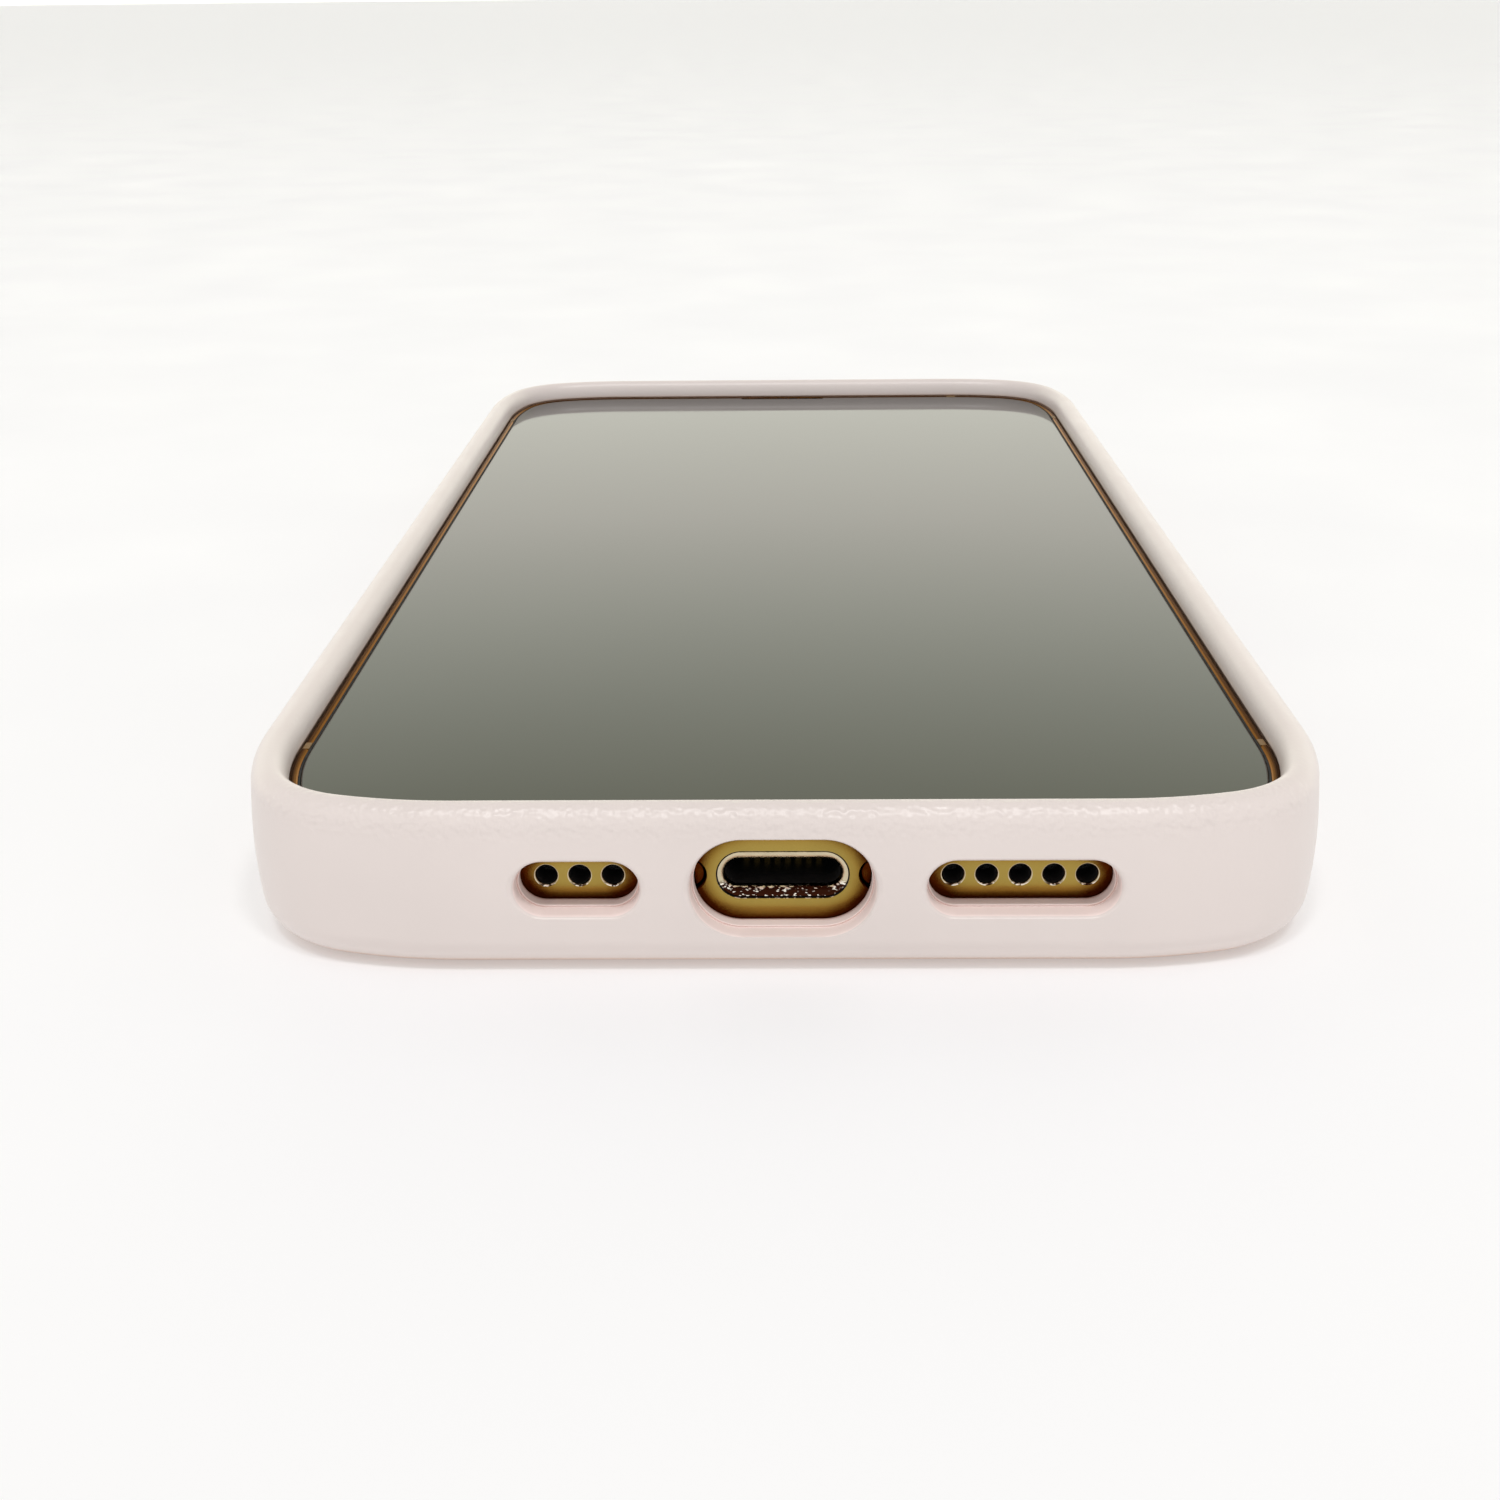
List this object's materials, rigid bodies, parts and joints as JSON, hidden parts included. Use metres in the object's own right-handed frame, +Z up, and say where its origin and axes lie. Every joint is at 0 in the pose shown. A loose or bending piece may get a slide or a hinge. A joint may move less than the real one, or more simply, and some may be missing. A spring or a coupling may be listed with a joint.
{
  "type": "smartphone",
  "caption": "Slim smartphone lying screen up in a moulded slip-on case, with a metal band, glass faces, side buttons, ring switch, rear cameras and working parts inside.",
  "frame": {"origin": "middle of the case's footprint, on the surface it lies on", "axes": "+Z up through the screen, -Y the charging end, +X to the right seen from the charging end with the screen up"},
  "size_m": [0.0778, 0.152, 0.0121],
  "materials": {
    "case_moulding": "satin",
    "lining": "matte",
    "gold_metal": "polished",
    "antenna_plastic": "satin",
    "chassis_alloy": "satin",
    "screen_glass": "gloss",
    "gasket_rubber": "matte",
    "display_black": "gloss",
    "flex_film": "satin",
    "back_glass_gold": "satin",
    "clear_glass": "gloss",
    "camera_black": "satin",
    "flash_phosphor": "matte",
    "mesh_steel": "satin",
    "black_plastic": "satin",
    "cone_film": "satin",
    "battery_foil": "satin",
    "board_green": "satin",
    "chip_black": "satin",
    "shield_steel": "satin",
    "copper": "satin",
    "magnet_steel": "satin",
    "contact_gold": "polished",
    "card_plastic": "satin"
  },
  "bodies": {
    "phone": {"case_shell": "case_moulding", "case_lining": "lining", "frame_band": "gold_metal", "lens_rings": "gold_metal", "bottom_screws": "gold_metal", "sim_tray": "gold_metal", "antenna_inserts": "antenna_plastic", "chassis_plate": "chassis_alloy", "camera_bracket": "chassis_alloy", "haptic_housing": "chassis_alloy", "haptic_cover": "chassis_alloy", "sim_reader": "chassis_alloy", "front_glass": "screen_glass", "display_gasket": "gasket_rubber", "display_panel": "display_black", "display_flex": "flex_film", "battery_flex": "flex_film", "port_flex": "flex_film", "button_strips": "flex_film", "back_glass": "back_glass_gold", "camera_island": "back_glass_gold", "lens_covers": "clear_glass", "flash_lens": "clear_glass", "wide_camera_body": "camera_black", "ultrawide_camera": "camera_black", "front_camera": "camera_black", "flash_led": "flash_phosphor", "earpiece_mesh": "mesh_steel", "speaker_mesh": "mesh_steel", "microphone_mesh": "mesh_steel", "earpiece_box": "black_plastic", "speaker_box": "black_plastic", "speaker_cover": "black_plastic", "charging_port": "black_plastic", "ring_switch_base": "black_plastic", "battery_cell": "battery_foil", "logic_board": "board_green", "board_chips": "chip_black", "board_shields": "shield_steel", "board_screws": "shield_steel", "haptic_springs": "shield_steel", "button_domes": "shield_steel", "charging_coil": "copper", "alignment_magnets": "magnet_steel", "speaker_magnet": "magnet_steel", "port_contacts": "contact_gold", "microphone": "contact_gold", "sim_card": "card_plastic"},
    "case_power": {"case_power_button": "case_moulding"},
    "power": {"power_button": "gold_metal"},
    "case_volume_up": {"case_volume_up_button": "case_moulding"},
    "volume_up": {"volume_up_button": "gold_metal"},
    "case_volume_down": {"case_volume_down_button": "case_moulding"},
    "volume_down": {"volume_down_button": "gold_metal"},
    "switch_lever": {"ring_switch": "gold_metal"},
    "haptic_weight": {"haptic_mass": "magnet_steel"},
    "focus_barrel": {"wide_lens_barrel": "camera_black"},
    "speaker_cone": {"speaker_diaphragm": "cone_film"},
    "earpiece_cone": {"earpiece_diaphragm": "cone_film"}
  },
  "joints": [
    {"name": "power_press", "type": "slide", "parent": "phone", "child": "power", "axis": [-1, 0, 0], "range_m": [0, 0.00025], "stiffness_N_per_m": 4000, "deforming": ["button_domes"]},
    {"name": "case_power_press", "type": "slide", "parent": "phone", "child": "case_power", "axis": [-1, 0, 0], "range_m": [0, 0.00025], "deforming": ["button_domes"]},
    {"name": "volume_up_press", "type": "slide", "parent": "phone", "child": "volume_up", "axis": [1, 0, 0], "range_m": [0, 0.00025], "stiffness_N_per_m": 4000, "deforming": ["button_domes"]},
    {"name": "case_volume_up_press", "type": "slide", "parent": "phone", "child": "case_volume_up", "axis": [1, 0, 0], "range_m": [0, 0.00025], "deforming": ["button_domes"]},
    {"name": "volume_down_press", "type": "slide", "parent": "phone", "child": "volume_down", "axis": [1, 0, 0], "range_m": [0, 0.00025], "stiffness_N_per_m": 4000, "deforming": ["button_domes"]},
    {"name": "case_volume_down_press", "type": "slide", "parent": "phone", "child": "case_volume_down", "axis": [1, 0, 0], "range_m": [0, 0.00025], "deforming": ["button_domes"]},
    {"name": "ring_switch_slide", "type": "slide", "parent": "phone", "child": "switch_lever", "axis": [0, 0, -1], "range_m": [0, 0.0012]},
    {"name": "haptic_slide", "type": "slide", "parent": "phone", "child": "haptic_weight", "axis": [1, 0, 0], "range_m": [-0.0004, 0.0004], "stiffness_N_per_m": 3500, "deforming": ["haptic_springs"]},
    {"name": "focus_slide", "type": "slide", "parent": "phone", "child": "focus_barrel", "axis": [0, 0, -1], "range_m": [0, 0.0003], "stiffness_N_per_m": 300},
    {"name": "speaker_slide", "type": "slide", "parent": "phone", "child": "speaker_cone", "axis": [0, 0, 1], "range_m": [-0.0002, 0.0002], "stiffness_N_per_m": 1500},
    {"name": "earpiece_slide", "type": "slide", "parent": "phone", "child": "earpiece_cone", "axis": [0, 0, 1], "range_m": [-0.00015, 0.00015], "stiffness_N_per_m": 800}
  ],
  "couplings": [
    {"joint": "case_power_press", "follows": "power_press", "ratio": 1},
    {"joint": "case_volume_up_press", "follows": "volume_up_press", "ratio": 1},
    {"joint": "case_volume_down_press", "follows": "volume_down_press", "ratio": 1}
  ]
}
